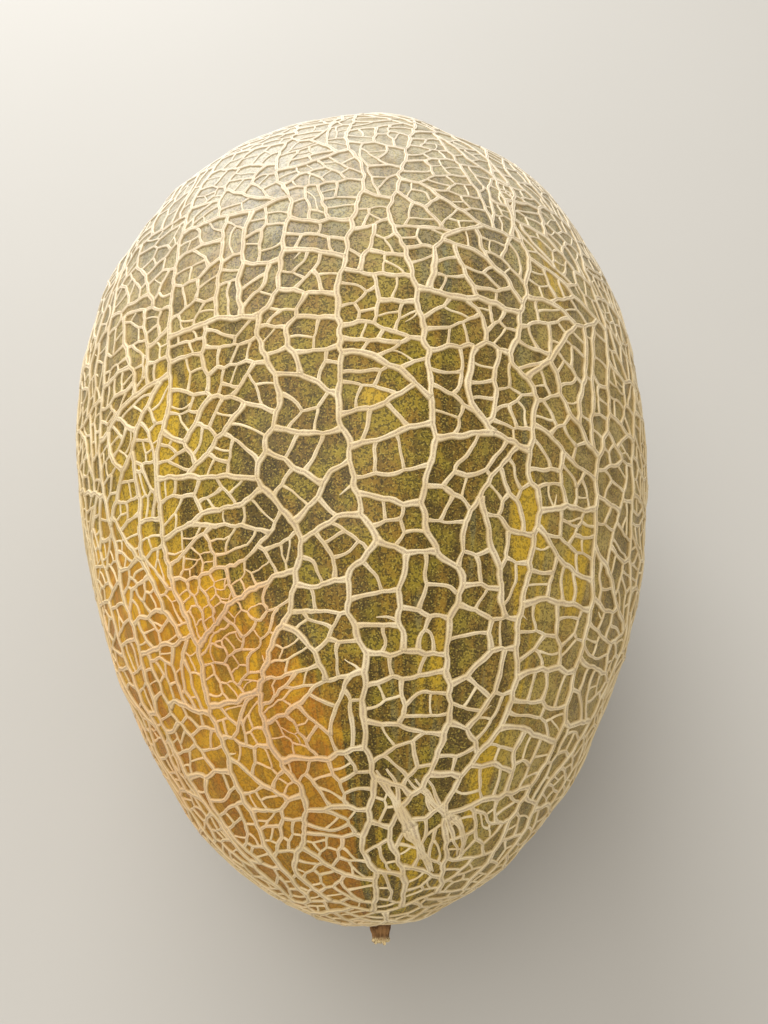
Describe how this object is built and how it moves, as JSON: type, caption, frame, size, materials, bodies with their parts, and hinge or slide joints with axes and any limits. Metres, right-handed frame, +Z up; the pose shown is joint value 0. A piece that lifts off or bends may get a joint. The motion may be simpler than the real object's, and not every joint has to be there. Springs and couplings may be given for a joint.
{
  "type": "melon",
  "caption": "Oval netted melon with a raised cork net over a streaked green and gold rind, lying on its side, with a dry stem stub.",
  "frame": {"origin": "on the resting surface, under the middle of the part's box", "axes": "+Z up, +Y along the fruit from the narrow stem end to the broad blossom end, +X across it"},
  "size_m": [0.166, 0.239, 0.1664],
  "materials": {
    "rind": "waxy streaked rind under a dull cream cork net",
    "dry_stem": "dry, fibrous and matt"
  },
  "bodies": {
    "root": {"melon": "rind", "stem_stub": "dry_stem"}
  },
  "joints": []
}
